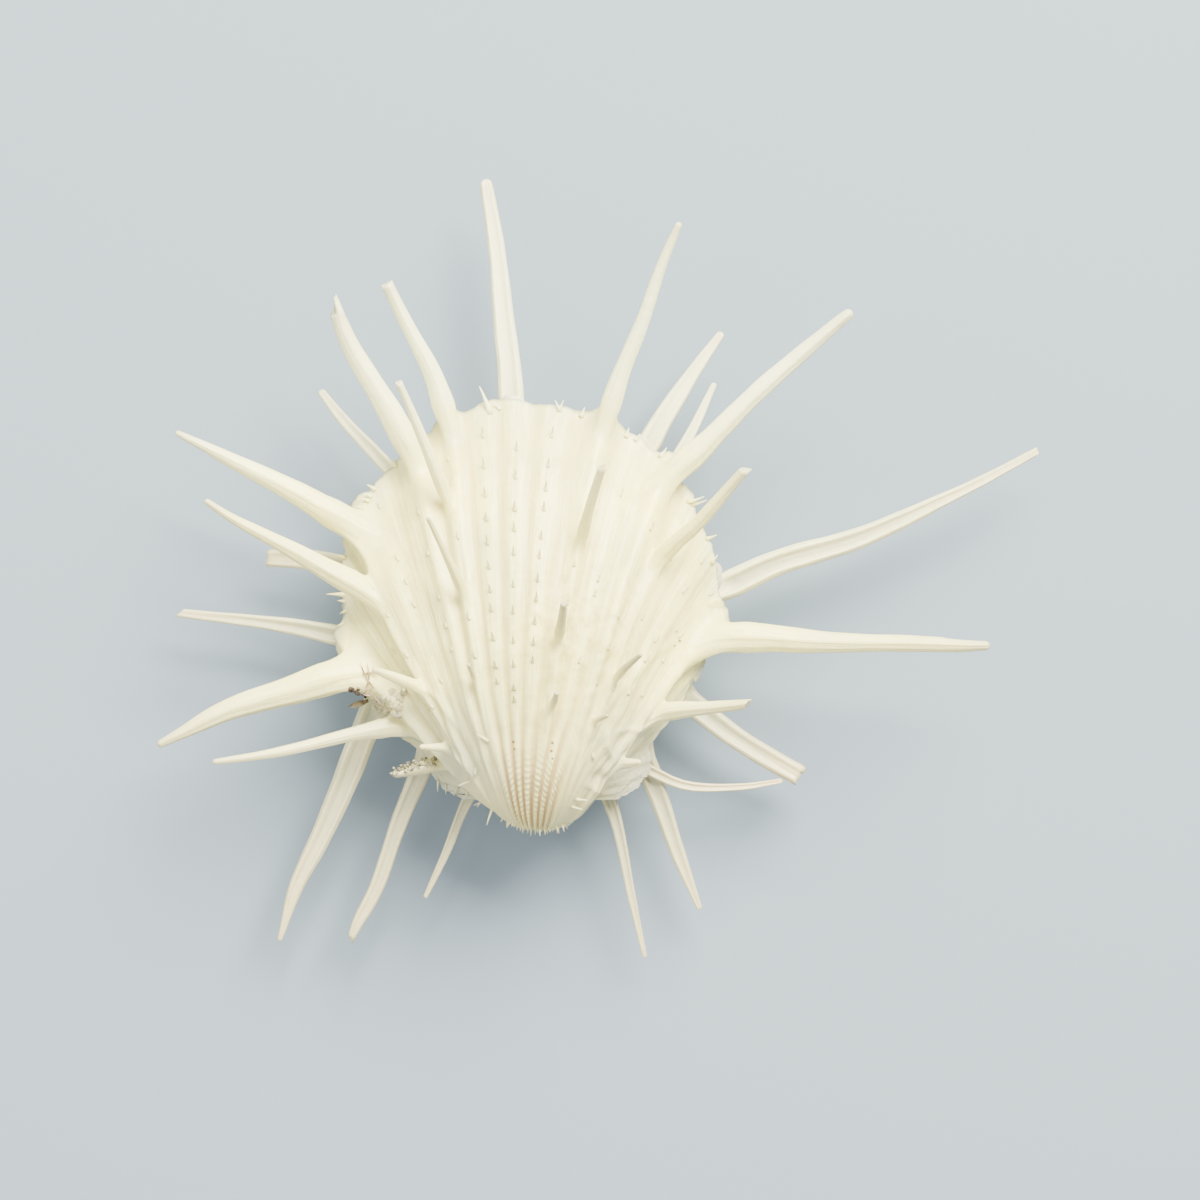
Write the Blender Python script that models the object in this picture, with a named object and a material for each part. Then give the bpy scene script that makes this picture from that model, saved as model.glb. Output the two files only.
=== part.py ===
"""Thorny oyster shell: a closed pair of ribbed valves with long spines.

The upper valve is a hollow dome with smooth spines that rise from its ribs. The lower valve is a deeper hollow bowl
with channelled spines that leave it just under the margin, and a flat attachment scar beneath, on which it rests.
Dimensions are millimetres in this file and become metres when a mesh is made. The frame: +Z up, +Y from the hinge to
the front margin, origin at the middle of the attachment scar.
"""

import bmesh
import bpy
import numpy as np

MILLIMETRE = 0.001

# Whole shell
MARGIN_HEIGHT = 20.0
HINGE_Y = -26.0
MARGIN_RADIUS = 38.4
MARGIN_CENTRE = (-2.0, 41.2)
EAR_REACH = 24.0
EAR_ANGLE = 66.0
EAR_SPREAD = 40.0
SEAM_GAP = 0.3
CUTTER_REACH = 150.0

# Growth spiral: how fast each valve closes in on its hinge axis for each radian of coil
UPPER_COIL = 1.3
LOWER_COIL = 1.15
BREADTH_POWER = 0.9
BEAK_HALF_WIDTH = 7.0
BEAK_THICKNESS = 4.0

# Ribs
RIB_COUNT = 28
GROWTH_ROWS = 11
RIB_HEIGHT = 0.9

# Hollow inside, as a share of the outer form
HOLLOW_BREADTH = 0.87
UPPER_HOLLOW_DEPTH = 0.84
LOWER_HOLLOW_DEPTH = 0.72
HOLLOW_COLUMNS = 24
HOLLOW_ROWS = 7

# How far the closed forms run past the margin plane before the seam is cut
BODY_SKIRT = 1.0
HOLLOW_SKIRT = 2.0

# Height above the margin from which the spines' places in plan were read, and the point straight below it,
# with y from the hinge line
VIEW_HEIGHT = 800.0
VIEW_CENTRE = (12.0, 40.0)

# Cross-sections: sides of each ring, thickness as a share of width at root and tip, and the channel of a lower spine
SPINE_SIDES = 8
THORN_SIDES = 6
CHANNEL_SIDES = 10
ROOT_THICKNESS = 0.6
TIP_THICKNESS = 0.9
CHANNEL_DEPTH = 0.7
CHANNEL_HALF_WIDTH = 0.45

# Each spine: height of its root and of its tip from the margin plane, then its middle line in plan from root to tip
# as x, y from the hinge line and width. Heights are upwards on the upper valve and downwards on the lower one.
UPPER_SPINES = {
    "front_left": (2.0, 12, [(-17.5, 73.5, 5.2), (-21.5, 85, 3.8), (-27, 96, 2.7), (-31, 104, 2.4)]),
    "front_left_forked": (2.5, 14, [
        (-23.5, 65.5, 6.0), (-32, 81, 4.6), (-38, 91, 3.7), (-41, 98, 2.5)]),
    "front_left_older": (9.5, 23, [
        (-17.5, 58.5, 3.4), (-22.5, 70, 2.1), (-25.5, 77, 1.8), (-28.5, 84, 1.4)]),
    "front_right": (2.0, 16, [
        (12, 73, 5.4), (16, 84.5, 3.5), (20.5, 96, 2.8), (24, 106, 2.2), (28, 115.5, 1.2)]),
    "right_front": (2.5, 12, [
        (24.5, 64, 6.8), (34, 72, 4.4), (46, 84, 3.6), (58.5, 94.5, 2.2), (62.5, 97.5, 1.4)]),
    "right_older": (9.5, 25, [(22.5, 47, 4.4), (27, 51.5, 3.1), (32, 56, 2.8), (41.5, 66.5, 1.8)]),
    "right_long": (2.8, 10, [
        (33, 33, 8.0), (42, 32.5, 6.0), (62, 31.5, 3.8), (81, 31, 2.2), (90, 31, 1.0)]),
    "right_rear": (7.0, 19, [(20.5, 17, 5.4), (26, 18, 3.8), (32, 18.5, 2.8), (42, 19, 1.8)]),
    "left_rear_thin": (3.2, 13, [
        (-25.5, 16, 5.4), (-36, 13.5, 3.0), (-53, 9.5, 1.9), (-65.5, 7.5, 0.9)]),
    "left_long": (2.8, 9, [
        (-35, 26.5, 9.0), (-47, 23, 6.0), (-62, 18, 4.4), (-71.5, 13.5, 2.4), (-76.5, 11, 1.0)]),
    "left_middle": (6.0, 16, [(-31, 40, 6.4), (-44, 47, 4.0), (-60, 55.5, 2.0), (-67, 60, 0.9)]),
    "left_front": (2.8, 10, [
        (-34.5, 53.5, 8.0), (-43, 58, 5.6), (-53.5, 64, 4.0), (-67, 70.5, 2.2), (-73, 73.5, 0.9)]),
}
UPPER_THORNS = {
    "left_of_centre": (15.8, 32, [(-14.5, 40, 2.8), (-18, 47.5, 2.0), (-22.5, 56.5, 1.4)]),
    "right_of_centre": (14.5, 30, [(7.5, 50, 3.0), (9.5, 57, 2.0), (12.6, 67, 1.6)]),
    "crown": (19.0, 33, [(3.5, 31, 3.0), (4.2, 35, 2.0), (4.8, 39.6, 1.4)]),
    "right_curved": (15.5, 27, [(14, 23, 2.4), (16.4, 26, 1.9), (20.2, 29.2, 1.2)]),
    "near_beak": (18.5, 27, [(2, 17.5, 2.4), (2.7, 19.4, 1.9), (3.4, 21.6, 1.3)]),
    "left_of_crown": (17.5, 25, [(-12, 22.5, 2.2), (-13, 24.8, 1.6), (-14.2, 27.2, 1.0)]),
    "right_near_beak": (16.5, 22, [(9.4, 15.4, 2.0), (11.4, 16.2, 1.6), (13.6, 17, 1.0)]),
    "right_ear": (8.0, 13, [(13.6, 8, 2.8), (16.6, 7.8, 2.0), (19.8, 7.8, 1.0)]),
    "left_side": (12.0, 20, [(-21, 22, 3.0), (-27, 24, 2.2), (-33.4, 26.2, 1.2)]),
    "left_near_beak": (9.6, 16, [(-16.4, 10.8, 2.2), (-20, 10.6, 1.8), (-24, 10.6, 1.0)]),
    "left_ear": (3.5, 7, [(-20, 7.2, 3.2), (-25, 6, 2.4), (-29.8, 5, 1.6)]),
}
LOWER_SPINES = {
    "front": (3.6, 5, [
        (-5.5, 72, 6.0), (-6.2, 86, 4.8), (-8, 104, 3.8), (-10.5, 121.5, 2.6), (-11, 124.2, 1.4)]),
    "front_right_blue": (3.6, 6, [
        (19, 66, 5.2), (24, 75.5, 4.2), (28.5, 82.5, 3.4), (36.5, 93.5, 1.4)]),
    "front_right_small": (3.4, 5, [(22, 59.5, 3.4), (27, 68, 2.6), (31, 75, 2.0), (35, 83.4, 1.1)]),
    "right_long": (4.0, 6, [
        (29, 39, 6.8), (47, 47, 5.2), (65, 53, 4.2), (81, 60, 2.8), (100, 70, 1.5)]),
    "right_cut": (4.2, 8, [(26, 23, 5.4), (33, 17, 4.6), (39, 12.6, 4.4), (52, 5, 4.4)]),
    "right_ear_thin": (3.0, 6, [(20, 7, 2.4), (29, 3, 1.9), (40, 2.6, 1.4), (48.5, 3.8, 0.8)]),
    "rear_right": (3.6, 9, [(19, 12, 5.4), (23.4, 1, 4.0), (28, -11.5, 2.8), (32, -22, 0.8)]),
    "rear_thin": (3.0, 9, [(11, 7, 3.6), (15, -4, 2.5), (18.5, -20, 1.6), (21, -31.6, 0.8)]),
    "rear_short": (3.0, 8, [(-11.5, 6, 2.8), (-16, -3.5, 2.0), (-18.6, -10, 1.6), (-23, -19, 0.8)]),
    "rear_left": (3.2, 9, [
        (-21.5, 11, 4.6), (-27, -5, 3.2), (-31, -15, 2.6), (-34.5, -21, 3.0), (-38, -28, 1.0)]),
    "left_rear": (4.0, 9, [
        (-29, 27, 6.0), (-38, 6.5, 5.2), (-44, -8, 4.4), (-49, -18, 3.2), (-52, -27.5, 1.2)]),
    "left_straight": (3.6, 6, [(-35, 32, 4.6), (-55.5, 35.5, 2.7), (-72.5, 37.5, 1.4)]),
    "left_broken": (4.0, 6, [(-35, 46, 4.8), (-47, 48, 4.0), (-55.5, 48.5, 3.2)]),
    "left_front_short": (3.4, 5, [(-28, 64, 3.4), (-38, 74.5, 2.4), (-44, 82, 1.4)]),
}


def margin_distance(angle):
    """Distance from the hinge point to the margin: a circle in front, widened beside the hinge by two ears."""
    across = MARGIN_CENTRE[0] * np.sin(angle) + MARGIN_CENTRE[1] * np.cos(angle)
    chord = MARGIN_RADIUS ** 2 - np.dot(MARGIN_CENTRE, MARGIN_CENTRE) + across ** 2
    disc = across + np.sqrt(np.maximum(chord, 0.0))
    ear = EAR_REACH * (1 - ((np.abs(np.degrees(angle)) - EAR_ANGLE) / EAR_SPREAD) ** 2)
    return 0.5 * (disc + ear + np.sqrt((disc - ear) ** 2 + 4))


def valve_form(columns, rows, coil, rib_height):
    """Outer form of a valve over half a turn of coil about the hinge axis, as x, y and height from the margin.

    The margin shrinks by exp(-coil * turn) as it turns about the axis, and ends as a beak of fixed width behind it.
    """
    angle, turn = np.meshgrid(np.linspace(-np.pi / 2, np.pi / 2, columns + 1), np.linspace(0, np.pi, rows + 1))
    growth = np.exp(-coil * turn)
    reach = margin_distance(angle)
    beak = (1 - growth) ** 2
    breadth = reach * growth ** BREADTH_POWER + BEAK_HALF_WIDTH * beak
    depth = reach * growth + BEAK_THICKNESS * beak
    crest = np.where(np.arange(columns + 1) % 2 == 1, 0.5, -0.5) * rib_height
    swell = crest[None, :] * (0.4 + 0.6 * growth)
    x = (breadth + swell) * np.sin(angle)
    depth = (depth + swell) * np.cos(angle)
    return np.stack([x, HINGE_Y + depth * np.cos(turn), depth * np.sin(turn)], axis=2)


def mesh_object(name, points, faces, collection):
    """Makes an object from points in millimetres and faces, with its normals turned outwards."""
    mesh = bpy.data.meshes.new(name)
    mesh.from_pydata((np.asarray(points) * MILLIMETRE).tolist(), [], faces)
    shape = bmesh.new()
    shape.from_mesh(mesh)
    bmesh.ops.remove_doubles(shape, verts=shape.verts, dist=1e-6)
    bmesh.ops.recalc_face_normals(shape, faces=shape.faces)
    shape.to_mesh(mesh)
    shape.free()
    result = bpy.data.objects.new(name, mesh)
    collection.objects.link(result)
    return result


def valve_body(name, form, side, skirt, collection):
    """Closes a valve form with an upright skirt through the margin plane and a flat base.

    The side is 1 for the upper valve and -1 for the lower one, whose heights run down.
    """
    rows, columns = form.shape[0], form.shape[1]
    grid = np.arange(rows * columns).reshape(rows, columns)
    faces = [(grid[r, c], grid[r, c + 1], grid[r + 1, c + 1], grid[r + 1, c])
             for r in range(rows - 1) for c in range(columns - 1)]
    rim = list(grid[0]) + list(grid[1:, -1]) + list(grid[-1, -2::-1]) + list(grid[-2:0:-1, 0])
    points = form.reshape(-1, 3)
    base = points[rim].copy()
    base[:, 2] = -skirt
    first = len(points)
    count = len(rim)
    for i in range(count):
        following = (i + 1) % count
        faces.append((rim[i], rim[following], first + following, first + i))
    faces.append(tuple(range(first, first + count)))
    points = np.vstack([points, base])
    points[:, 2] = MARGIN_HEIGHT + side * points[:, 2]
    return mesh_object(name, points, [tuple(int(i) for i in face) for face in faces], collection)


def hollow_body(name, coil, depth_share, side, collection):
    """The space inside a valve: its outer form without ribs, drawn in towards the middle of the margin."""
    form = valve_form(HOLLOW_COLUMNS, HOLLOW_ROWS, coil, 0.0)
    middle = np.array([MARGIN_CENTRE[0], HINGE_Y + MARGIN_CENTRE[1], 0.0])
    shares = np.array([HOLLOW_BREADTH, HOLLOW_BREADTH, depth_share])
    return valve_body(name, middle + (form - middle) * shares, side, HOLLOW_SKIRT, collection)


def smooth_path(knots, steps):
    """Catmull-Rom curve through the knots, with the same number of steps in each span."""
    knots = np.asarray(knots, dtype=float)
    padded = np.vstack([2 * knots[0] - knots[1], knots, 2 * knots[-1] - knots[-2]])
    spans = []
    for i in range(len(knots) - 1):
        before, start, end, after = padded[i:i + 4]
        t = np.linspace(0, 1, steps, endpoint=False)[:, None]
        spans.append(0.5 * (2 * start + (end - before) * t
                            + (2 * before - 5 * start + 4 * end - after) * t ** 2
                            + (3 * start - before - 3 * end + after) * t ** 3))
    return np.vstack(spans + [knots[-1:]])


def spine_body(name, root_height, tip_height, plan, side, sides, channel, collection):
    """A spine as a loft of rings along its path, flat and wide at the root and nearly round at the tip.

    The channel is the depth of the groove along its upper face, as a share of its thickness.
    """
    knots = smooth_path(plan, 3 if len(plan) < 4 else 2)
    lengths = np.linalg.norm(np.diff(knots[:, :2], axis=0), axis=1)
    along = np.concatenate([[0.0], np.cumsum(lengths)]) / lengths.sum()
    height = side * (root_height + (tip_height - root_height) * along)
    centre = np.array(VIEW_CENTRE)
    path = np.empty((len(knots), 3))
    path[:, :2] = centre + (knots[:, :2] - centre) * ((VIEW_HEIGHT - height) / VIEW_HEIGHT)[:, None]
    path[:, 1] += HINGE_Y
    path[:, 2] = MARGIN_HEIGHT + height
    tangent = np.gradient(path, axis=0)
    tangent /= np.linalg.norm(tangent, axis=1)[:, None]
    across = np.cross(tangent, [0.0, 0.0, 1.0])
    across /= np.linalg.norm(across, axis=1)[:, None]
    above = np.cross(across, tangent)
    turn = 2 * np.pi * (np.arange(sides) + 0.5) / sides
    half_width = 0.5 * knots[:, 2]
    half_thickness = half_width * (ROOT_THICKNESS + (TIP_THICKNESS - ROOT_THICKNESS) * along)
    groove = channel * np.clip(np.sin(turn), 0, 1) * np.exp(-(np.cos(turn) / CHANNEL_HALF_WIDTH) ** 2)
    rings = (path[:, None, :]
             + across[:, None, :] * (half_width[:, None] * np.cos(turn))[:, :, None]
             + above[:, None, :] * (half_thickness[:, None] * (np.sin(turn) - groove))[:, :, None])
    count = len(path)
    faces = [tuple(range(sides))]
    for r in range(count - 1):
        for s in range(sides):
            following = (s + 1) % sides
            near, far = r * sides, (r + 1) * sides
            faces.append((near + s, near + following, far + following, far + s))
    faces.append(tuple(range((count - 1) * sides, count * sides)))
    return mesh_object(name, rings.reshape(-1, 3), faces, collection)


def slab(name, bottom, top, collection):
    """A level slab between two heights that reaches past every spine, from a primitive cube."""
    shape = bmesh.new()
    bmesh.ops.create_cube(shape, size=1.0)
    size = np.array([2 * CUTTER_REACH, 2 * CUTTER_REACH, top - bottom]) * MILLIMETRE
    bmesh.ops.scale(shape, vec=size.tolist(), verts=shape.verts)
    bmesh.ops.translate(shape, vec=(0.0, 0.0, (bottom + top) / 2 * MILLIMETRE), verts=shape.verts)
    mesh = bpy.data.meshes.new(name)
    shape.to_mesh(mesh)
    shape.free()
    result = bpy.data.objects.new(name, mesh)
    collection.objects.link(result)
    return result


def join(target, other, operation):
    """Adds an exact Boolean with another object, and shows that object only as a wire guide."""
    modifier = target.modifiers.new(operation.lower() + "_" + other.name, "BOOLEAN")
    modifier.operation = operation
    modifier.solver = "EXACT"
    modifier.object = other
    other.hide_render = True
    other.display_type = "WIRE"


def calcite(name, colour, roughness):
    """Matt to satin shell calcite."""
    material = bpy.data.materials.new(name)
    material.use_nodes = True
    shader = material.node_tree.nodes["Principled BSDF"]
    shader.inputs["Base Color"].default_value = (*colour, 1.0)
    shader.inputs["Roughness"].default_value = roughness
    shader.inputs["Metallic"].default_value = 0.0
    return material


def upper_valve(parts, guides):
    """The free valve: ribbed dome, smooth spines and thorns, hollow beneath, cut level at the seam."""
    form = valve_form(2 * RIB_COUNT, GROWTH_ROWS, UPPER_COIL, RIB_HEIGHT)
    valve = valve_body("upper_valve", form, 1, BODY_SKIRT, parts)
    for name, (root, tip, plan) in UPPER_SPINES.items():
        join(valve, spine_body("upper_spine_" + name, root, tip, plan, 1, SPINE_SIDES, 0.0, guides), "UNION")
    for name, (root, tip, plan) in UPPER_THORNS.items():
        join(valve, spine_body("upper_thorn_" + name, root, tip, plan, 1, THORN_SIDES, 0.0, guides), "UNION")
    join(valve, hollow_body("upper_hollow", UPPER_COIL, UPPER_HOLLOW_DEPTH, 1, guides), "DIFFERENCE")
    seam = MARGIN_HEIGHT + SEAM_GAP / 2
    join(valve, slab("upper_seam_cut", seam - CUTTER_REACH, seam, guides), "DIFFERENCE")
    valve.data.materials.append(calcite("upper_valve_calcite", (0.78, 0.74, 0.63), 0.5))


def lower_valve(parts, guides):
    """The attached valve: ribbed bowl, channelled spines, hollow above, cut level at the seam and at the scar."""
    form = valve_form(2 * RIB_COUNT, GROWTH_ROWS, LOWER_COIL, RIB_HEIGHT)
    valve = valve_body("lower_valve", form, -1, BODY_SKIRT, parts)
    for name, (root, tip, plan) in LOWER_SPINES.items():
        spine = spine_body("lower_spine_" + name, root, tip, plan, -1, CHANNEL_SIDES, CHANNEL_DEPTH, guides)
        join(valve, spine, "UNION")
    join(valve, hollow_body("lower_hollow", LOWER_COIL, LOWER_HOLLOW_DEPTH, -1, guides), "DIFFERENCE")
    seam = MARGIN_HEIGHT - SEAM_GAP / 2
    join(valve, slab("lower_seam_cut", seam, seam + CUTTER_REACH, guides), "DIFFERENCE")
    join(valve, slab("scar_cut", -CUTTER_REACH, 0.0, guides), "DIFFERENCE")
    valve.data.materials.append(calcite("lower_valve_calcite", (0.70, 0.70, 0.66), 0.55))


def build():
    for old in list(bpy.data.objects):
        bpy.data.objects.remove(old, do_unlink=True)
    parts = bpy.data.collections.new("thorny_oyster_shell")
    guides = bpy.data.collections.new("guides")
    bpy.context.scene.collection.children.link(parts)
    bpy.context.scene.collection.children.link(guides)
    upper_valve(parts, guides)
    lower_valve(parts, guides)


build()
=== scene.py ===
"""Thorny oyster shell, closed, on a plain pale floor, seen from straight above.

Lengths are in millimetres until a mesh is made, except where a comment says metres. The frame is the CAD's:
+Z up, +Y from the hinge to the front margin, origin at the middle of the attachment scar.
"""

import bmesh
import bpy
import numpy as np
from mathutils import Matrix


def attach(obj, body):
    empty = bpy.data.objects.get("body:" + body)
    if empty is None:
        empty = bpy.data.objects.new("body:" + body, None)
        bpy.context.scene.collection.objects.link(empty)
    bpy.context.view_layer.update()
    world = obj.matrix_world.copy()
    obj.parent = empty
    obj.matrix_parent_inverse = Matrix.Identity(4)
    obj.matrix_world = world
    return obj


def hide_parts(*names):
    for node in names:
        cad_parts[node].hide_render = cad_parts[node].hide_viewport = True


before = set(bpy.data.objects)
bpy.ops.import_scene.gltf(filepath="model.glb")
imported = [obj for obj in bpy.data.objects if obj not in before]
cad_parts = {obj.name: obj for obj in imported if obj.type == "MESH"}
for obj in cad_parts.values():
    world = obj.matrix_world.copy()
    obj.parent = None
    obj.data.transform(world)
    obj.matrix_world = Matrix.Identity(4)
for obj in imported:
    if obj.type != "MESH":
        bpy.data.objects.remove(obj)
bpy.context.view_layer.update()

# Camera, floor and light
# The camera hangs 800 mm straight above the margin plane and takes in 240 mm there, as the photograph does.
# The floor is plain matt card, and the light is three large soft panels with a pale room around them.
MILLIMETRE = 0.001
MARGIN_HEIGHT = 20.0
HINGE_Y = -26.0
VIEW_HEIGHT = 800.0
VIEW_CENTRE = np.array([12.0, 40.0])
VIEW_WIDTH = 240.0
SENSOR_WIDTH = 36.0

# In metres: half the floor's side, the point the panels face, and each panel's place, side, watts and colour
FLOOR_HALF = 3.0
LIT_POINT = np.array([0.012, 0.012, 0.02])
PANELS = {
    "key": ((0.45, 0.95, 1.0), 0.9, 160.0, "#FFFBEA"),
    "fill": ((-0.95, 0.3, 1.2), 1.4, 30.0, "#FBFAF2"),
    "rear": ((0.1, -1.1, 1.0), 1.2, 13.0, "#FAFAF4"),
}


def linear(hex_colour):
    """An sRGB hex colour as linear red, green, blue and alpha."""
    values = np.array([int(hex_colour[i:i + 2], 16) for i in (1, 3, 5)]) / 255.0
    values = np.where(values <= 0.04045, values / 12.92, ((values + 0.055) / 1.055) ** 2.4)
    return (*values.tolist(), 1.0)


def new_material(name, inputs):
    """A material and its shader, whose inputs are set to the given values."""
    material = bpy.data.materials.new(name)
    material.use_nodes = True
    shader = material.node_tree.nodes["Principled BSDF"]
    for key, value in inputs.items():
        shader.inputs[key].default_value = value
    return material, shader


def add_object(name, data):
    """Puts an object with the data into the scene."""
    result = bpy.data.objects.new(name, data)
    bpy.context.scene.collection.objects.link(result)
    return result


camera_data = bpy.data.cameras.new("camera")
camera_data.sensor_width = SENSOR_WIDTH
camera_data.lens = SENSOR_WIDTH * VIEW_HEIGHT / VIEW_WIDTH
camera = add_object("camera", camera_data)
camera.location = (VIEW_CENTRE[0] * MILLIMETRE, (HINGE_Y + VIEW_CENTRE[1]) * MILLIMETRE,
                   (MARGIN_HEIGHT + VIEW_HEIGHT) * MILLIMETRE)
bpy.context.scene.camera = camera

floor_mesh = bpy.data.meshes.new("floor")
corners = FLOOR_HALF * np.array([(-1, -1, 0), (1, -1, 0), (1, 1, 0), (-1, 1, 0)])
floor_mesh.from_pydata(corners.tolist(), [], [(0, 1, 2, 3)])
card = new_material("pale blue-grey card", {"Base Color": linear("#7A8895"), "Roughness": 0.9})[0]
floor_mesh.materials.append(card)
floor = add_object("floor", floor_mesh)

for name, (place, side, power, colour) in PANELS.items():
    light = bpy.data.lights.new(name, "AREA")
    light.size = side
    light.energy = power
    light.color = linear(colour)[:3]
    lamp = add_object(name, light)
    lamp.location = place
    direction = LIT_POINT - place
    pitch = np.arccos(-direction[2] / np.linalg.norm(direction))
    lamp.rotation_euler = (pitch, 0.0, np.arctan2(-direction[0], direction[1]))

world = bpy.data.worlds.new("pale room")
world.use_nodes = True
room = world.node_tree.nodes["Background"].inputs
room["Color"].default_value = linear("#F0F2EE")
room["Strength"].default_value = 0.68
bpy.context.scene.world = world

# Growth of a valve
# A valve is one margin line, repeated ever smaller towards the hinge as it coils about the hinge axis, as
# the animal lays it down. A place on it is a rib angle in degrees, taken at the margin, and a growth from 1
# there towards 0 at the beak.
MARGIN_RADIUS = 38.4
MARGIN_CENTRE = np.array([-2.0, 41.2])
EAR_REACH = 24.0
EAR_ANGLE = 66.0
EAR_SPREAD = 40.0
BREADTH_POWER = 0.9
BEAK_HALF_WIDTH = 7.0
BEAK_THICKNESS = 4.0
LEAN_OF_RIBS = 6.0
COLUMNS = 372
ROWS = 174


def margin_distance(angle):
    """Distance from the hinge point to the margin: a circle in front, and two ears beside the hinge.

    It is a smooth maximum of the ray's way out of the circle and of a parabola of its angle.
    """
    across = MARGIN_CENTRE[0] * np.sin(angle) + MARGIN_CENTRE[1] * np.cos(angle)
    chord = MARGIN_RADIUS ** 2 - MARGIN_CENTRE @ MARGIN_CENTRE + across ** 2
    disc = across + np.sqrt(np.maximum(chord, 0.0))
    ear = EAR_REACH * (1 - ((np.abs(np.degrees(angle)) - EAR_ANGLE) / EAR_SPREAD) ** 2)
    return 0.5 * (disc + ear + np.sqrt((disc - ear) ** 2 + 4))


def growth_surface(rib, growth, coil):
    """Point at a rib and growth, as x, y from the hinge and height from the margin plane.

    Turn about the hinge axis is -log(growth) / coil, and the section there is the margin shrunk by the
    growth, a little less so across, with a beak of fixed width added as the growth falls to nothing. The ribs
    lean to the left, by more the nearer they are to the beak.
    """
    young = 1 - growth
    lean = LEAN_OF_RIBS * (young + young ** 4) * (1 - (rib / 90.0) ** 2)
    angle = np.radians(rib - lean)
    turn = -np.log(growth) / coil
    reach = margin_distance(angle)
    breadth = reach * growth ** BREADTH_POWER + BEAK_HALF_WIDTH * young ** 2
    depth = (reach * growth + BEAK_THICKNESS * young ** 2) * np.cos(angle)
    return np.stack([breadth * np.sin(angle), depth * np.cos(turn), depth * np.sin(turn)], axis=-1)


def growth_rows(coil):
    """Growth values from margin to beak, whose steps along the middle rib shorten towards the beak."""
    growth = np.exp(-coil * np.linspace(0, np.pi, 4000))
    points = growth_surface(np.zeros_like(growth), growth, coil)
    steps = np.linalg.norm(np.diff(points, axis=0), axis=1) * (1 + 2.2 * (1 - growth[1:]) ** 3)
    travelled = np.concatenate([[0.0], np.cumsum(steps)])
    return np.interp(np.linspace(0, travelled[-1], ROWS + 1), travelled, growth)


def unit(vectors):
    """The vectors scaled to length 1."""
    return vectors / np.maximum(np.linalg.norm(vectors, axis=-1, keepdims=True), 1e-9)


def grid_normals(points):
    """Outward unit normals of a grid of points, from the cross product of its two central differences."""
    return unit(np.cross(np.gradient(points, axis=0), np.gradient(points, axis=1)))


def smooth_step(low, high, value):
    """Rises from 0 at low to 1 at high along a cubic."""
    t = np.clip((value - low) / (high - low), 0, 1)
    return t * t * (3 - 2 * t)


# Ribs of both valves
# Broad, softly flat-topped ribs part narrow grooves. They run from margin to beak, draw together and are
# beaded near the beak, and are faint on the ears. The margin is drawn in between the spines.
RIB_ANGLES = np.array([
    -90, -84, -78, -72, -66, -60.5, -55, -49.5, -44, -39.5, -35, -28, -21, -14, -8.3, -2.8, 2.4, 9.8, 15.6,
    22.2, 28.4, 34.4, 40.4, 46.4, 52, 58, 64, 70, 76, 83, 90])
MIDDLE_RIB = -2.8
BEAD_SPACING = 1.35

# Rib angles of the spines at the margin, of both valves, and of the two ends of the hinge
SPINE_RIBS = np.array([-90, -62, -52.5, -41, -31.5, -27, -20, -13.4, -4.4, 9.3, 16, 20.5, 37, 45, 62, 90.0])


def rib_number(rib, growth):
    """Which rib a place is on, counted from the left and whole along the middle of a rib."""
    together = 1 + 0.35 * (1 - smooth_step(0.1, 0.42, growth))
    return np.interp(MIDDLE_RIB + (rib - MIDDLE_RIB) * together, RIB_ANGLES, np.arange(len(RIB_ANGLES)))


def relief(rib, growth, travelled, groove_depth, bead_height):
    """Height of the ribs above the plain growth surface, and how deep in a groove each place is from 0 to 1.

    A groove is a cosine of the rib number raised to a power, so the ribs are broad. Beads are a cosine of
    the distance from the margin, on the ribs of the beak. Waves and growth rings are products and sums of
    sines, which keep the surface uneven.
    """
    number = rib_number(rib, growth)
    valley = ((1 - np.cos(2 * np.pi * number)) / 2) ** 1.8
    middle = np.abs(rib - MIDDLE_RIB)
    ear = smooth_step(11, 20, np.abs(rib - 3)) * (1 - smooth_step(0.22, 0.5, growth))
    aside = smooth_step(8, 20, middle) * smooth_step(0.2, 0.5, growth)
    strength = (0.9 - 0.15 * smooth_step(0.4, 0.9, growth)) * (1 - 0.72 * smooth_step(34, 60, middle))
    strength = strength * (1 - 0.88 * ear) * (1 - 0.3 * aside)
    bead = np.cos(2 * np.pi * (travelled / BEAD_SPACING + 0.37 * np.round(number)))
    young = (1 - smooth_step(0.17, 0.28, growth)) * (1 - ear)
    beads = bead_height * young * np.maximum(bead, 0.0) ** 0.6 * (1 - valley)
    slow = 0.2 * np.sin(0.11 * rib + 9 * growth) * np.sin(0.23 * rib - 5 * growth + 1.0)
    fine = 0.09 * np.sin(0.9 * rib + 14 * growth) * np.sin(0.31 * rib - 37 * growth)
    slow = slow + fine * (1 - 0.8 * smooth_step(42, 62, middle))
    rings = 0.035 * np.sin(61 * growth + 0.05 * rib) + 0.03 * np.sin(97 * growth + 2.0)
    uneven = (slow + rings) * smooth_step(0.1, 0.3, growth)
    return beads + uneven - groove_depth * strength * valley, valley * strength


def smooth_path(knots, steps):
    """Catmull-Rom curve through the knots, with the same number of steps in each span."""
    knots = np.asarray(knots, dtype=float)
    padded = np.vstack([2 * knots[0] - knots[1], knots, 2 * knots[-1] - knots[-2]])
    before, start, end, after = (padded[i:i + len(knots) - 1, None] for i in range(4))
    t = np.linspace(0, 1, steps, endpoint=False)[None, :, None]
    curve = 0.5 * (2 * start + (end - before) * t + (2 * before - 5 * start + 4 * end - after) * t ** 2
                   + (3 * start - before - 3 * end + after) * t ** 3)
    return np.vstack([curve.reshape(-1, knots.shape[1]), knots[-1:]])


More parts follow.
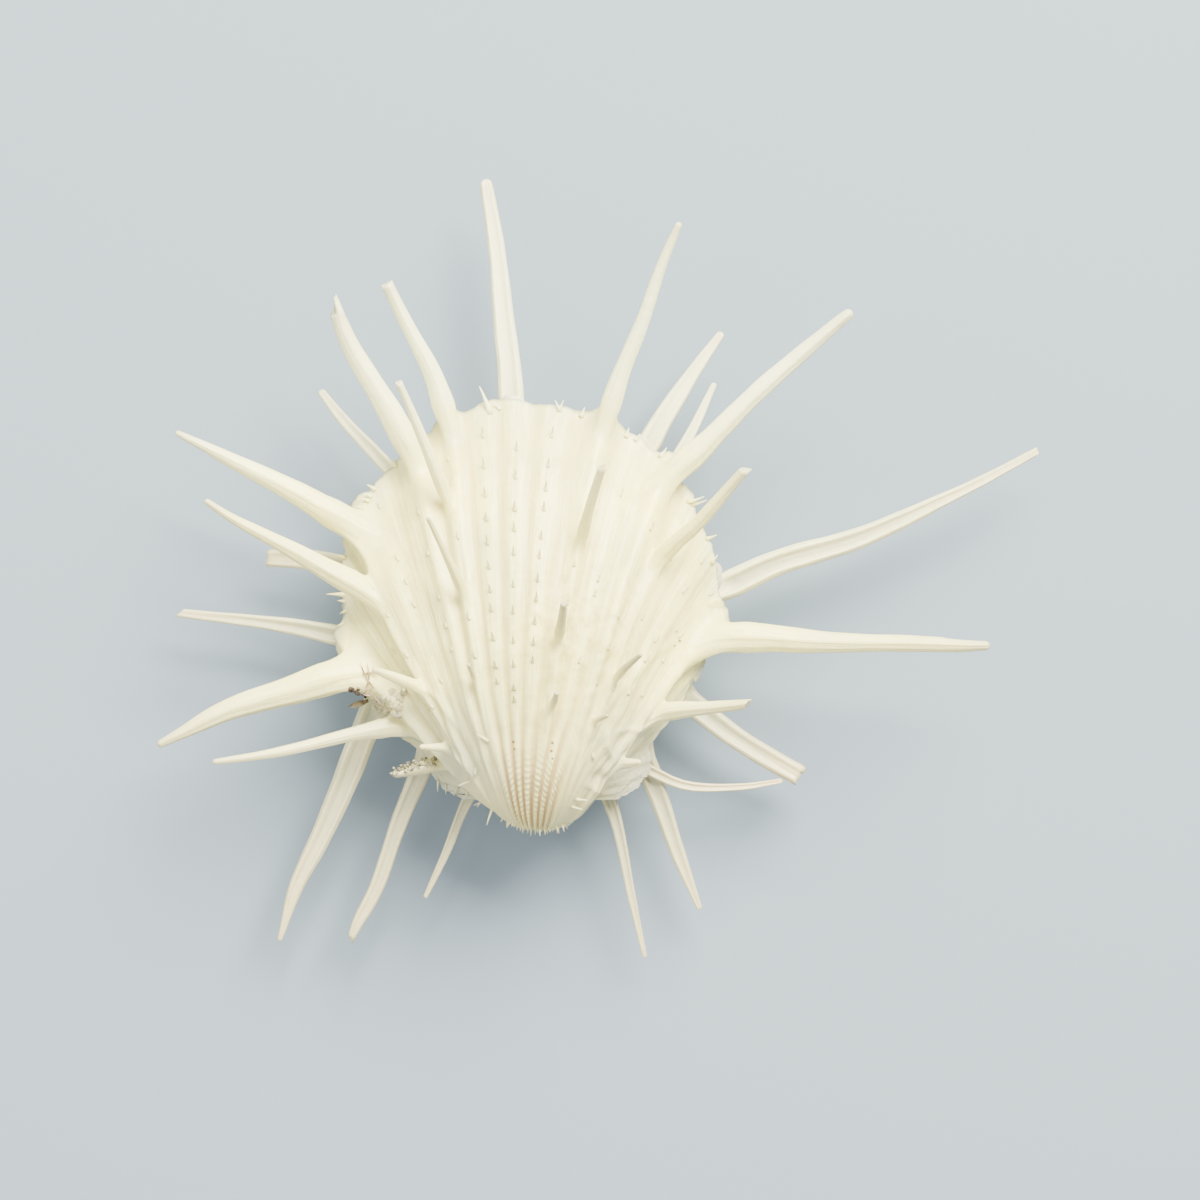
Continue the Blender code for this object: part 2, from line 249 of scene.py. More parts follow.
def fold_height(plan, folds):
    """Height of low folds: a Gaussian of the distance in plan from each one's line, which fades at its ends.

    A fold is its rise, its width and the x, y of its corners from the hinge.
    """
    height = np.zeros(plan.shape[:2])
    for rise, width, corners in folds:
        line = smooth_path(corners, 10)
        near = np.full(plan.shape[:2], 1e9)
        along = np.zeros(plan.shape[:2])
        for step, point in enumerate(line):
            distance = np.linalg.norm(plan - point, axis=2)
            along = np.where(distance < near, step / (len(line) - 1), along)
            near = np.minimum(near, distance)
        height += rise * np.exp(-(near / width) ** 2) * np.sin(np.pi * (0.04 + 0.92 * along)) ** 0.6
    return height


def as_seen(plan, height):
    """Where the camera sees points of this x, y and height, as x, y on the margin plane."""
    return VIEW_CENTRE + (plan - VIEW_CENTRE) / (1 - height / VIEW_HEIGHT)


def lengths_along(points):
    """Distance travelled along a path at each of its points."""
    return np.concatenate([[0.0], np.cumsum(np.linalg.norm(np.diff(points, axis=0), axis=1))])


def margin_bays(rib, margin, own_columns, own_widths):
    """How far the margin is drawn in, in mm.

    A parabola across the gap between two spines, a notch at each groove and small chips, less a lip in front
    and a web beside each of the valve's own spines, which falls off exponentially along the margin.
    """
    gap = np.clip(np.searchsorted(SPINE_RIBS, rib, side="right") - 1, 0, len(SPINE_RIBS) - 2)
    low, high = SPINE_RIBS[gap], SPINE_RIBS[gap + 1]
    t = (rib - low) / np.maximum(high - low, 1.0)
    bay = np.minimum(0.075 * (high - low), 1.5) * 4 * t * (1 - t) * (1 - smooth_step(58, 66, np.abs(rib)))
    number = rib_number(rib, 1.0)
    notch = 0.3 * ((1 - np.cos(2 * np.pi * number)) / 2) ** 0.6
    chipped = 0.16 * np.sin(7.3 * number) * np.sin(3.1 * number + 1.0) + 0.09 * np.sin(19.7 * number)
    lip = 0.8 * np.exp(-(rib / 14) ** 4) + 1.2 * np.exp(-((rib + 7.5) / 3) ** 2)
    arc = lengths_along(margin)
    beside = np.maximum(np.abs(arc[:, None] - arc[own_columns.astype(int)]) - 0.3 * own_widths, 0.0)
    web = (0.8 + 0.14 * own_widths) * np.exp(-beside / 1.1)
    return bay + notch + chipped - lip - web.max(axis=1)


# Spines
# A spine grows out of its rib at the margin as a fold of the shell: its root flares into the wall, and it
# narrows to a rounded, cut, forked or broken tip. One face keeps the fold as a channel.
ROOT_RINGS = 9
RING_STEP = 1.6
CONE_SIDES = 7
CONE_ROWS = 5

# How far a cut tip slants, as a share of its breadth, then by side and name the spines that are stained from
# the root, and those whose left edge is chipped, from which share of the length on
SLANTS = {"oblique": 0.9, "slanted": -0.9}
STAINED = {(1, "left_ear"), (-1, "right_ear_thin")}
CHIPS = {(-1, "right_long"): 0.66, (1, "right_long"): 0.84, (1, "left_front"): 0.8}
NO_CHIP = 2.0


def spine_path(root_height, tip_height, plan, side):
    """A spine's middle line as x, y from the hinge, height on its own side, and width.

    The plan was read from VIEW_HEIGHT above the margin, so a point h higher is drawn in by h's share of it.
    """
    knots = smooth_path(plan, 24)
    travelled = lengths_along(knots[:, :2])
    height = root_height + (tip_height - root_height) * travelled / travelled[-1]
    share = (VIEW_HEIGHT - side * height) / VIEW_HEIGHT
    drawn_in = VIEW_CENTRE + (knots[:, :2] - VIEW_CENTRE) * share[:, None]
    return np.column_stack([drawn_in, height, knots[:, 2]])


def spine_rings(loop, loop_normals, centre, normal, path, side, ending, channel, chip):
    """Rings of a spine from the loop of wall points around its root to its tip.

    The first rings lie on cubic Bezier curves that leave each wall point along the wall and reach the spine
    along its own direction, which flares the root. After them the section is carried along the path: an
    ellipse, flat at the root and nearly round at the tip, with a channel along one face, a low keel along the
    other, and a left edge that has broken back a little from the chip onwards. Also gives each ring's
    millimetres along the spine, each point's around it, and how deep in the channel it lies from 0 to 1.
    """
    travelled = lengths_along(path[:, :3])
    root_width, tip_width = path[[0, -1], 3]
    phase = float(path[0, 0] * 1.7 + path[0, 1])
    end = travelled[-1] - (0.0 if ending == "round" else 0.3 * tip_width)
    start = min(0.75 * root_width + 0.8, 0.35 * end)
    spread = np.linspace(0, 1, max(7, int((end - start) / RING_STEP)))
    at = start + (end - start) * (spread + 0.14 * np.sin(np.pi * spread))
    if ending == "round":
        tip = 0.5 * tip_width
        at = np.concatenate([at[at < end - 1.2 * tip], end - tip * np.array([1.0, 0.55, 0.22, 0.04])])
    *centres, width = (np.interp(at, travelled, values) for values in path.T)
    centres = np.column_stack(centres)
    width = width * (1 + 0.035 * np.sin(at / 2.3 + phase) * np.sin(at / 5.1 + 2 * phase))
    tangent = unit(np.gradient(centres, axis=0))
    above = unit(np.array([0.0, 0.0, side]) - tangent * (side * tangent[:, 2:]))
    across = np.cross(tangent, above)
    wander = 0.04 * width * np.sin(at / 5.3 + phase) * smooth_step(0, 8, at - start)
    centres = centres + across * wander[:, None]

    wall_up = unit(above[0] - normal * (above[0] @ normal))
    wall_side = across[0] - normal * (across[0] @ normal)
    offset = loop - centre
    angle = np.unwrap(np.arctan2(offset @ wall_up, offset @ wall_side))
    winding = np.sign(angle[-1] - angle[0])
    even = angle.mean() + winding * 2 * np.pi * (np.arange(len(loop)) - (len(loop) - 1) / 2) / len(loop)
    angle = 0.5 * angle + 0.5 * even

    share = (at / travelled[-1])[:, None]
    width = width[:, None]
    if ending == "round":
        left = np.clip((end - at) / tip, 0, 1)[:, None]
        width = width * np.sqrt(np.maximum(1 - (1 - left) ** 2, 0.02))
    thickness = width * (0.68 + 0.22 * share)
    cos, sin = np.cos(angle), np.sin(angle)
    hollow = (1 - 0.6 * share ** 3) * np.clip(side * -sin, 0, 1) ** 0.5 * np.exp(-(cos / 0.5) ** 4)
    keel = 0.17 * np.clip(side * sin, 0, 1) * np.exp(-((cos - 0.15 * np.sin(phase)) / 0.34) ** 2)
    ripple = 1 + 0.022 * np.cos(9 * angle + phase)
    chipped = 0.16 * smooth_step(chip - 0.012, chip + 0.012, share) * np.clip(-cos, 0, 1)
    x = 0.5 * width * cos * ripple * (1 - chipped)
    y = 0.5 * thickness * (sin * ripple + side * (channel * hollow + keel))
    rings = centres[:, None] + across[:, None] * x[..., None] + above[:, None] * y[..., None]
    if ending != "round":
        shift = 0.07 * width[-1] * np.sin(3 * angle + 1.0) * np.sin(5 * angle)
        shift += SLANTS.get(ending, 0.0) * x[-1]
        if ending == "forked":
            shift += 1.3 * width[-1] * smooth_step(-0.1, 0.6, cos)
        rings[-1] += tangent[-1] * shift[:, None]
        middle = rings[-1].mean(axis=0)
        broken = middle + 0.6 * (rings[-1] - middle) - tangent[-1] * 0.08 * width[-1]
        rings = np.concatenate([rings, broken[None]])
        hollow = np.vstack([hollow, hollow[-1:]])
        at = np.append(at, at[-1] + 0.4)

    inwards = loop_normals * (offset * loop_normals).sum(axis=1)[:, None] - offset
    outer_side = np.clip((offset @ tangent[0]) / np.linalg.norm(offset, axis=1), 0, 1)
    leave = inwards * (0.6 - 0.45 * outer_side)[:, None]
    arrive = tangent[0] * 0.6 * start
    t = (np.arange(1, ROOT_RINGS) / ROOT_RINGS)[:, None, None]
    root = ((1 - t) ** 3 * loop + 3 * (1 - t) ** 2 * t * (loop + leave)
            + 3 * (1 - t) * t ** 2 * (rings[0] - arrive) + t ** 3 * rings[0])
    hollow = np.concatenate([t[:, 0] ** 3 * hollow[:1], hollow])
    return np.concatenate([root, rings]), np.append(start * t, at), 0.5 * root_width * angle, hollow


def tube_faces(ids):
    """Quads between neighbouring rings of point numbers, then caps on the last ring and the first."""
    after = np.roll(ids, -1, axis=1)
    quads = np.stack([ids[:-1], after[:-1], after[1:], ids[1:]], axis=-1).reshape(-1, 4)
    return [*quads.tolist(), ids[-1].tolist(), ids[0, ::-1].tolist()]


def circles(ways, helper, sides):
    """A unit circle of points about each way, from the cross products of the way and a helper vector."""
    first = unit(np.cross(ways, helper))
    second = np.cross(ways, first)
    turn = (2 * np.pi * np.arange(sides) / sides)[:, None]
    return first[:, None] * np.cos(turn) + second[:, None] * np.sin(turn)


def cones(places, ways, lengths, radii, bend):
    """Small curved cones sunk into the wall: points as (cone, point, 3), and the faces of the first cone.

    Each is a circle carried along its way, bent by the square of the distance and narrowed nearly to a point.
    """
    ways = unit(ways)
    t = np.linspace(0, 1, CONE_ROWS)[:, None, None]
    helper = np.where(np.abs(ways[:, :1]) > 0.8, [0.0, 1.0, 0.0], [1.0, 0.0, 0.0])
    axis = (ways * lengths[:, None])[:, None, None]
    middle = places[:, None, None] + axis * (t * 1.25 - 0.25)
    middle = middle + np.broadcast_to(bend, ways.shape)[:, None, None] * t ** 2
    radius = radii[:, None, None, None] * (1 - 0.88 * t ** 0.8)
    points = middle + circles(ways, helper, CONE_SIDES)[:, None] * radius
    ids = np.arange(CONE_ROWS * CONE_SIDES).reshape(CONE_ROWS, CONE_SIDES)
    return points.reshape(len(places), -1, 3), tube_faces(ids)


def grid_quads(number):
    """A quad of point numbers for each cell of a grid."""
    return np.stack([number[:-1, :-1], number[:-1, 1:], number[1:, 1:], number[1:, :-1]], axis=-1)


def border(number):
    """Point numbers of a grid's border in order: first row, last column, last row, first column."""
    return np.concatenate([number[0], number[1:, -1], number[-1, -2::-1], number[-2:0:-1, 0]])


def stacked(*values):
    """The values, broadcast to one shape, along a new last axis."""
    return np.stack(np.broadcast_arrays(*values), axis=-1)


def scale(place, out, across, length, width, lift, cup, thickness):
    """A thin rounded plate of shell as points (1, point, 3) and faces.

    Its outline widens as a sine from the root and is rounded as a superellipse at the tip. It rises by lift
    times the square of the share of length, and by cup times the square of the share of half width.
    """
    u, v = np.meshgrid(np.linspace(0, 1, 11), np.linspace(-1, 1, 13), indexing="ij")
    out, across = unit(np.asarray(out)), unit(np.asarray(across))
    up = np.cross(out, across)
    up *= np.sign(up[2])
    round_off = np.sqrt(1 - (0.96 * u) ** 3) * (0.45 + 0.75 * np.sin(0.5 * np.pi * u))
    reach = u * (1 - 0.2 * v ** 2 + 0.03 * np.sin(7 * v + 1) + 0.02 * np.sin(17 * v))
    rise = lift * u ** 2 + cup * v ** 2 * u + 0.07 * np.sin(12 * v) * u - 0.5 * (1 - u) ** 3
    top = place + stacked(length * reach, 0.5 * width * v * round_off, rise) @ np.array([out, across, up])
    bottom = top - up * (thickness * (1 - 0.55 * u) * (1 - 0.5 * np.abs(v) ** 3))[..., None]
    number = np.arange(u.size).reshape(u.shape)
    quads = grid_quads(number).reshape(-1, 4)
    rim = border(number)
    sides = tube_faces(np.stack([rim, rim + u.size]))[:-2]
    points = np.concatenate([top.reshape(-1, 3), bottom.reshape(-1, 3)])[None]
    return points, [*quads.tolist(), *(quads[:, ::-1] + u.size).tolist(), *sides]


# Wall of a valve
# The wall is one closed surface: ribbed outside, opened where each spine grows out of it, turned in at the
# margin and smooth inside, where the animal lay. The two valves touch along a fine seam.
SEAM_GAP = 0.3
HOLLOW_BREADTH = 0.87
INNER_STEP = 6


def mesh_object(name, points, faces, attributes=None):
    """A smooth object from points in frame millimetres, with its faces turned outwards."""
    mesh = bpy.data.meshes.new(name)
    mesh.from_pydata((points * MILLIMETRE).tolist(), [], faces)
    for attribute, values in (attributes or {}).items():
        mesh.attributes.new(attribute, "FLOAT_VECTOR", "POINT").data.foreach_set("vector", values.ravel())
    shape = bmesh.new()
    shape.from_mesh(mesh)
    bmesh.ops.recalc_face_normals(shape, faces=shape.faces)
    shape.to_mesh(mesh)
    shape.free()
    mesh.shade_smooth()
    return add_object(name, mesh)


def repeated(faces, starts):
    """The faces of one small piece for every piece, each numbered from its own first point."""
    return [(np.array(face) + start).tolist() for start in starts for face in faces]


def vertex_rows(points, tint, lay):
    """Points, tints and lays side by side, one row for each vertex."""
    parts = [np.broadcast_to(part, points.shape) for part in (points, tint, lay)]
    return np.concatenate(parts, axis=-1).reshape(-1, 9)


def find_roots(surface, spines, side):
    """Row and column of each spine's root, its path from there on, and how it ends.

    The root is the grid point nearest to the first 16 mm of the path.
    """
    roots = {}
    for spine, (root_height, tip_height, plan, ending) in spines.items():
        path = spine_path(root_height, tip_height, plan, side)
        near = path[lengths_along(path[:, :3]) < 16][::3]
        distance = np.linalg.norm(surface[None] - near[:, None, None, :3], axis=3)
        step, row, column = np.unravel_index(distance.argmin(), distance.shape)
        roots[spine] = (row, column, path[3 * step:], ending)
    return roots


def root_ridges(roots, base, travelled):
    """Height of the ridges that lead up to the spines' roots, and how clear of roots each place is, 0 to 1.

    A ridge is a Gaussian across the growth between two shallow dips. It narrows and fades exponentially
    towards the beak, and fades as a Gaussian towards the margin.
    """
    height = np.zeros_like(travelled)
    clear = np.ones_like(travelled)
    for row, column, path, ending in roots.values():
        width = path[0, 3]
        spacing = np.linalg.norm(base[row, column] - base[row, column - 1])
        across = (column - np.arange(COLUMNS + 1)) * spacing / (0.5 * width)
        behind = travelled - travelled[row, column]
        fade = np.where(behind > 0, np.exp(-behind / (6.0 * width)), np.exp(-(behind / (0.9 * width)) ** 2))
        across = across / (1 - 0.45 * (1 - np.exp(-np.maximum(behind, 0) / (4.0 * width))))
        height += width * (0.27 * np.exp(-across ** 2) - 0.07 * np.exp(-(np.abs(across) - 1.9) ** 2)) * fade
        root_reach = np.where(behind > 0, 1.0, 0.5) * width
        clear *= smooth_step(1.0, 2.2, np.hypot(across, behind / root_reach))
    return height, clear


def valve(name, side, coil, groove_depth, bead_height, hollow_depth, drawn_in, spines, channel, folds=(),
          small_growths=None):
    """A whole valve as one object: its wall with the spines grown out of it, its inside and small growths.

    Its tint attribute holds how deep in a groove, how far along a spine and how near the beak each point is,
    and its lay attribute holds millimetres across and along the growth, and how strongly its streaks show.
    """
    rib, growth = np.meshgrid(np.linspace(-90, 90, COLUMNS + 1), growth_rows(coil))
    plain = growth_surface(rib, growth, coil)
    steps = np.linalg.norm(np.diff(plain, axis=0), axis=2)
    travelled = np.vstack([np.zeros(COLUMNS + 1), np.cumsum(steps, axis=0)])
    roots = find_roots(plain, spines, side)
    own = [(column, path[0, 3]) for row, column, path, ending in roots.values() if row < ROWS // 5]
    drawn = (margin_bays(rib[0], plain[0], *np.array(own).T) + drawn_in) * np.exp(-(travelled / 5.0) ** 1.5)
    base = plain.copy()
    base[..., :2] -= unit(plain[..., :2] - MARGIN_CENTRE) * drawn[..., None]

    normal = grid_normals(base)
    height, groove = relief(rib, growth, travelled, groove_depth, bead_height)
    level = smooth_step(0.12, 0.55, np.abs(normal[..., 2]))
    height += fold_height(as_seen(base[..., :2], side * base[..., 2:]), folds) * level
    ridges, streak = root_ridges(roots, base, travelled)
    lift = 0.4 + 0.6 * smooth_step(0, 4, np.arange(ROWS + 1))[:, None]
    wall = base + normal * ((height + ridges) * lift)[..., None]
    wall[..., 2] = np.maximum(wall[..., 2], 0.02)
    wall[[0, -1], :, 2] = 0.0
    wall[:, [0, -1], 2] = 0.0
    wall_normals = grid_normals(wall).reshape(-1, 3)
    vertices = [vertex_rows(wall, stacked(groove, 0.0, 1 - growth), stacked(rib * 1.15, travelled, streak))]
    total = len(vertices[0])
    number = np.arange(total).reshape(rib.shape)
    keep = np.ones((ROWS, COLUMNS), dtype=bool)
    faces = []

    for spine, (row, column, path, ending) in roots.items():
        width = path[0, 3]
        column_spacing = np.linalg.norm(wall[row, column] - wall[row, column - 1])
        row_spacing = np.linalg.norm(wall[row, column] - wall[row + 1, column])
        half_columns = max(3, int(round(0.56 * width / column_spacing)))
        half_rows = max(2, int(round(0.56 * width / row_spacing)))
        top, bottom = max(1, row - half_rows), row + int(round(1.8 * half_rows))
        left, right = column - half_columns, column + half_columns
        while not keep[top:bottom, left:right].all() and bottom > row + 1:
            bottom -= 1
        keep[top:bottom, left:right] = False
        loop = border(number[top:bottom + 1, left:right + 1])
        path = path.copy()
        settle = np.exp(-lengths_along(path[:, :3]) / 6.0)
        path[:, :3] += (wall[row, column] - path[0, :3]) * settle[:, None]
        centre = wall[(top + row + half_rows) // 2, column]
        rings, along, around, hollow = spine_rings(
            vertices[0][loop, :3], wall_normals[loop], centre, normal[row, column], path, side, ending,
            channel, CHIPS.get((side, spine), NO_CHIP))
        along = along[:, None]
        share = along / along[-1]
        steepness = (path[-1, 2] - path[0, 2]) / np.linalg.norm(path[-1, :2] - path[0, :2])
        aged = 1.45 * share ** 0.4 if steepness > 1 or (side, spine) in STAINED else share
        young = (1 - growth[row, column]) * (1 - 0.5 * smooth_step(0, 6, along))
        lay = stacked(around, along + 9.0 * column, smooth_step(0.5, 5.0, along))
        vertices.append(vertex_rows(rings, stacked(hollow, aged, young), lay))
        ids = np.vstack([loop, total + np.arange(hollow.size).reshape(hollow.shape)])
        faces += tube_faces(ids)[:-1]
        total += hollow.size
    faces += grid_quads(number)[keep].tolist()

    middle = np.array([*MARGIN_CENTRE, 0.0])
    shares = np.array([HOLLOW_BREADTH, HOLLOW_BREADTH, hollow_depth])
    inner = middle + (plain[::INNER_STEP, ::INNER_STEP] - middle) * shares
    vertices.append(vertex_rows(inner, 0.0, 0.0))
    inner_number = total + np.arange(len(vertices[-1])).reshape(inner.shape[:2])
    faces += grid_quads(inner_number.T).reshape(-1, 4).tolist()
    outer_rim, inner_rim = (np.append(rim, rim[0]) for rim in (border(number), border(inner_number)))
    for i in range(len(inner_rim) - 1):
        stretch = outer_rim[INNER_STEP * i:INNER_STEP * (i + 1) + 1]
        faces.append([*stretch[::-1].tolist(), *inner_rim[i:i + 2].tolist()])
    total += len(vertices[-1])

    for points, piece, tint in small_growths(wall, normal, rib, growth) if small_growths else ():
        faces += repeated(piece, total + np.arange(len(points)) * points.shape[1])
        vertices.append(vertex_rows(points, tint, 0.0))
        total += len(vertices[-1])

    used = np.unique(np.concatenate(faces))
    renumbered = np.full(total, -1)
    renumbered[used] = np.arange(len(used))
    points, tints, lays = np.split(np.vstack(vertices)[used], 3, axis=1)
    points = points + [0.0, HINGE_Y, 0.0]
    points[:, 2] = np.maximum(MARGIN_HEIGHT + side * (SEAM_GAP / 2 + points[:, 2]), 0.0)
    faces = [renumbered[face].tolist() for face in faces]
    return mesh_object(name, points, faces, {"tint": tints, "lay": lays})


# Calcite of both valves
# Shell calcite is a satin, slightly translucent white that yellows where it is worn. The grooves, the more so
# near the beak, and the hinge end are painted darker as painted shade, and the front spines paler as painted
# light. The oldest ribs are pinkish, spines yellow towards their tips, and fine streaks follow the growth.
def add_node(material, kind, settings=None, links=None):
    """A new shader node: settings are properties or values of inputs, links are input to output socket."""
    node = material.node_tree.nodes.new("ShaderNode" + kind)
    for key, value in (settings or {}).items():
        if isinstance(key, str) and hasattr(node, key):
            setattr(node, key, value)
        else:
            node.inputs[key].default_value = value
    for key, socket in (links or {}).items():
        material.node_tree.links.new(socket, node.inputs[key])
    return node


def calcite(name, colours, worn_patches, pits):
    """Satin shell: the body colour with the others mixed over it in turn, by noise, place, tint and lay."""
    material, shader = new_material(name, {
        "Subsurface Weight": 0.3, "Subsurface Radius": (1.0, 0.85, 0.6), "Subsurface Scale": 0.0018,
        "Coat Weight": 0.12, "Coat Roughness": 0.25})
    links = material.node_tree.links

    def share(socket, low, high, top=1.0):
        """The socket's value turned from the range low to high into 0 to top."""
        return add_node(material, "MapRange", {"From Min": low, "From Max": high, "To Max": top},
                        {"Value": socket}).outputs["Result"]

    def times(first, second):
        """Product of two sockets."""
        return add_node(material, "Math", {"operation": "MULTIPLY"}, {0: first, 1: second}).outputs[0]

    def stretched(vector, factors):
        """The vector's parts, each multiplied by its factor."""
        return add_node(material, "VectorMath", {"operation": "MULTIPLY", 1: factors},
                        {0: vector}).outputs[0]

    def distance(vector, point):
        """How far the vector is from a point."""
        return add_node(material, "VectorMath", {"operation": "DISTANCE", 1: point},
                        {0: vector}).outputs["Value"]

    def noise(vector, scale, detail, roughness):
        """Noise over the vector."""
        return add_node(material, "TexNoise", {"Scale": scale, "Detail": detail, "Roughness": roughness},
                        {"Vector": vector}).outputs["Fac"]

    place = add_node(material, "TexCoord").outputs["Object"]
    tint, lay = (add_node(material, "Attribute", {"attribute_name": key}).outputs["Vector"]
                 for key in ("tint", "lay"))
    groove, along_spine, age = add_node(material, "SeparateXYZ", links={0: tint}).outputs
    shown = add_node(material, "SeparateXYZ", links={0: lay}).outputs["Z"]
    across, forwards = add_node(material, "SeparateXYZ", links={0: place}).outputs[:2]
    aside = add_node(material, "Math", {"operation": "ABSOLUTE"}, {0: across}).outputs[0]
    clouds = noise(place, 55.0, 4.0, 0.55)
    flecks = noise(place, 420.0, 3.0, 0.5)
    streaks = noise(stretched(lay, (1.1, 0.09, 0.0)), 1.0, 3.0, 0.6)
    rings = noise(stretched(lay, (0.06, 0.9, 0.0)), 1.0, 2.0, 0.5)
    level_place = stretched(place, (1.0, 1.0, 0.0))

    layers = [
        ("cool", share(clouds, 0.38, 0.66)),
        ("rim", times(share(age, 0.09, 0.0, 0.6), share(along_spine, 0.12, 0.0))),
        ("cool", share(flecks, 0.48, 0.7, 0.55)),
        ("streak", times(share(streaks, 0.45, 0.72, 0.8), shown)),
        *[("worn", times(share(distance(place, patch), 0.024, 0.006), share(flecks, 0.42, 0.68, 0.85)))
          for patch in worn_patches],
        # Painted shade: darker grey towards the hinge end, beside the middle, over the ears and rear spines,
        # which lie low and away from the light
        ("ear", times(share(aside, 0.003, 0.016), share(forwards, -0.001, -0.02, 0.85))),
        # Painted shade: the deeper a place is in a groove, the more of the darker tan groove colour it gets
        ("groove", share(groove, 0.1, 0.95, 0.85)),
        ("beak", share(age, 0.7, 0.86, 0.45)),
        # Painted shade: the grooves near the beak are painted darker still and browner
        ("beak_groove_shade", times(share(age, 0.66, 0.83), share(groove, 0.05, 0.6, 0.8))),
        ("tip", share(along_spine, 0.05, 0.9, 0.8)),
        # Painted light: spines and prickles towards the front are painted paler, as the light falls from the
        # front
        ("front", times(share(along_spine, 0.0, 0.15), share(forwards, 0.03, 0.055, 0.7))),
        ("broken", share(along_spine, 0.9, 1.0, 0.4)),
        ("thorn", share(along_spine, 0.6, 1.8, 0.9)),
        *[("pit", share(distance(level_place, (*pit, 0.0)), radius, 0.3 * radius)) for *pit, radius in pits],
    ]
    body = add_node(material, "RGB")
    body.outputs[0].default_value = linear(colours["body"])
    colour = body.outputs[0]
    for over, amount in layers:
        colour = add_node(material, "Mix", {"data_type": "RGBA", 7: linear(colours[over])},
                          {"Factor": amount, 6: colour}).outputs[2]
    links.new(colour, shader.inputs["Base Color"])

    heights = add_node(material, "Math", {"operation": "MULTIPLY_ADD", 1: 0.35}, {0: rings, 2: streaks})
    fine = add_node(material, "Bump", {"Strength": 0.6, "Distance": 0.0004},
                    {"Height": times(heights.outputs[0], shown)})
    rough = add_node(material, "Bump", {"Strength": 0.42, "Distance": 0.0004},
                     {"Height": flecks, "Normal": fine.outputs["Normal"]})
    links.new(rough.outputs["Normal"], shader.inputs["Normal"])
    satin = add_node(material, "MapRange", {"To Min": 0.34, "To Max": 0.52}, {"Value": clouds})
    links.new(satin.outputs["Result"], shader.inputs["Roughness"])
    return material


# Upper valve
# The free valve: a ribbed dome of white calcite with rows of prickles, a beaded beak, smooth spines along
# the margin and short upright thorns on older growth. It rests on the lower valve and is hinged to it.

# Each spine: height of its root and of its tip from the margin plane, its middle line in plan from root to
# tip as x, y from the hinge line and width, and how it ends. Heights are downwards on the lower valve.
UPPER_SPINES = {
    "front_left": (2.0, 12, [(-17.5, 73.5, 5.2), (-21.5, 85, 3.8), (-27, 96, 2.7), (-31, 104, 2.4)], "cut"),
    "front_left_forked": (2.5, 14, [
        (-23.5, 65.5, 6.0), (-32, 81, 4.6), (-38, 91, 3.7), (-41, 98, 2.5)], "forked"),
    "front_left_older": (9.5, 23, [
        (-17.5, 58.5, 3.4), (-22.5, 70, 2.1), (-25.5, 77, 1.8), (-28.5, 84, 1.4)], "cut"),
    "front_right": (2.0, 16, [
        (12, 73, 5.4), (16, 84.5, 3.5), (20.5, 96, 2.8), (24, 106, 2.2), (28, 115.5, 1.4)], "round"),
    "right_front": (2.5, 12, [
        (24.5, 64, 6.8), (34, 72, 4.4), (46, 84, 3.6), (58.5, 94.5, 2.6), (62.5, 97.7, 2.0)], "round"),
    "right_older": (9.5, 25, [
        (22.5, 47, 4.4), (27, 51.5, 3.1), (32, 56, 2.8), (41.5, 66.5, 1.8)], "oblique"),
    "right_long": (2.8, 10, [
        (33, 33, 8.0), (42, 32.5, 6.0), (62, 31.5, 3.8), (81, 31, 2.9), (90, 31, 2.0)], "round"),
    "right_rear": (7.0, 19, [(20.5, 17, 5.4), (26, 18, 3.8), (32, 18.5, 2.8), (42, 19.2, 1.8)], "slanted"),
    "left_rear_thin": (3.2, 13, [
        (-25.5, 16, 5.4), (-36, 13.5, 3.0), (-53, 9.5, 1.9), (-65.5, 7.5, 1.1)], "round"),
    "left_long": (2.8, 9, [
        (-35, 26.5, 9.0), (-47, 23, 6.0), (-62, 18, 4.4), (-71.5, 13.5, 2.4), (-76.5, 11, 1.3)], "round"),
    "left_middle": (6.0, 16, [(-31, 40, 6.4), (-44, 47, 4.0), (-60, 55.5, 2.0), (-67, 60, 1.1)], "round"),
    "left_front": (2.8, 10, [
        (-34.5, 53.5, 8.0), (-43, 58, 5.6), (-53.5, 64, 4.0), (-67, 70.5, 2.2), (-73, 73.5, 1.2)], "round"),
}
UPPER_THORNS = {
    "left_of_centre": (15.8, 32, [(-14.5, 40, 2.6), (-18, 47.5, 1.6), (-22.5, 56.5, 0.8)], "round"),
    "right_of_centre": (14.5, 30, [(7.5, 50, 3.0), (9.5, 57, 2.0), (12.6, 67, 1.6)], "oblique"),
    "crown": (19.0, 33, [(3.5, 31, 2.8), (4.2, 35, 1.8), (4.8, 39.6, 1.2)], "cut"),
    "right_curved": (15.5, 27, [(14, 23, 2.2), (16.4, 26, 1.5), (20.2, 29.2, 0.9)], "round"),
    "near_beak": (18.5, 27, [(2, 17.5, 2.2), (2.7, 19.4, 1.5), (3.4, 21.6, 0.9)], "cut"),
    "left_of_crown": (17.5, 25, [(-12, 22.5, 2.0), (-13, 24.8, 1.2), (-14.2, 27.2, 0.8)], "round"),
    "right_near_beak": (16.5, 22, [(9.4, 15.4, 1.9), (11.4, 16.2, 1.2), (13.6, 17, 0.8)], "round"),
    "right_ear": (8.0, 13, [(13.2, 7.9, 4.6), (16.2, 7.8, 2.6), (19.8, 7.8, 1.0)], "round"),
    "left_side": (12.0, 20, [(-21, 22, 3.0), (-27, 24, 2.2), (-33.4, 26.2, 1.2)], "round"),
    "left_near_beak": (9.6, 16, [(-16.2, 10.4, 3.4), (-19.6, 10.5, 1.9), (-24, 10.6, 1.0)], "round"),
    "left_ear": (3.5, 7, [(-20, 7.4, 3.4), (-25, 6, 2.4), (-29.8, 4.8, 1.1)], "oblique"),
}

